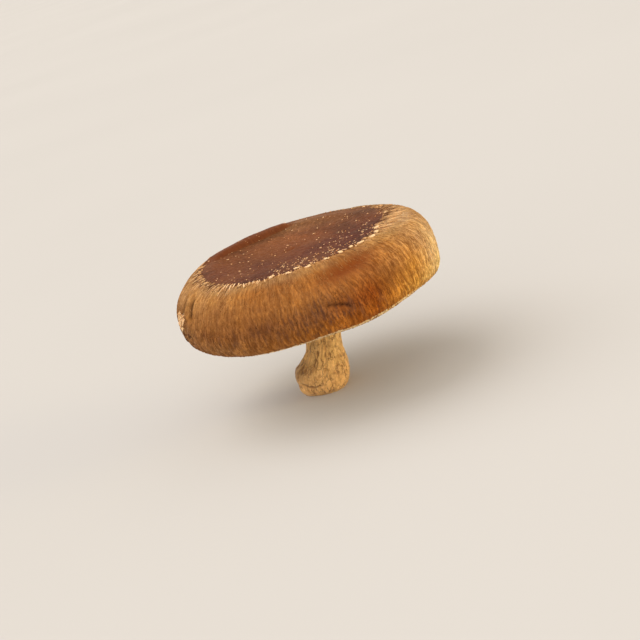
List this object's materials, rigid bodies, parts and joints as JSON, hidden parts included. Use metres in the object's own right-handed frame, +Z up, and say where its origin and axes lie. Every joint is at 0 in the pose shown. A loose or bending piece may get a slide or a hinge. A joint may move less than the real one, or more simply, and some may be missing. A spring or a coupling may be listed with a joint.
{
  "type": "fresh shiitake mushroom",
  "caption": "Large fresh shiitake: flat-topped brown cap with a rolled margin over cream gills, on a fibrous stem with a swollen base cut flat so that it stands upright.",
  "frame": {"origin": "centre of the flat cut foot of the stem", "axes": "+Z up along the stem to the cap, parallel to the cap's axis; +X towards the side that the stem leans to, so the cap's axis is 5.7 mm to +X of the foot; +Y away from the side with the torn patch and the shallow dent"},
  "size_m": [0.1074, 0.1063, 0.0622],
  "materials": {
    "cap_skin": "satin, finely fibrous",
    "gill_flesh": "matt, soft",
    "stem_skin": "matt, fibrous"
  },
  "bodies": {
    "root": {"cap": "cap_skin", "gills": "gill_flesh", "stem": "stem_skin"}
  },
  "joints": []
}
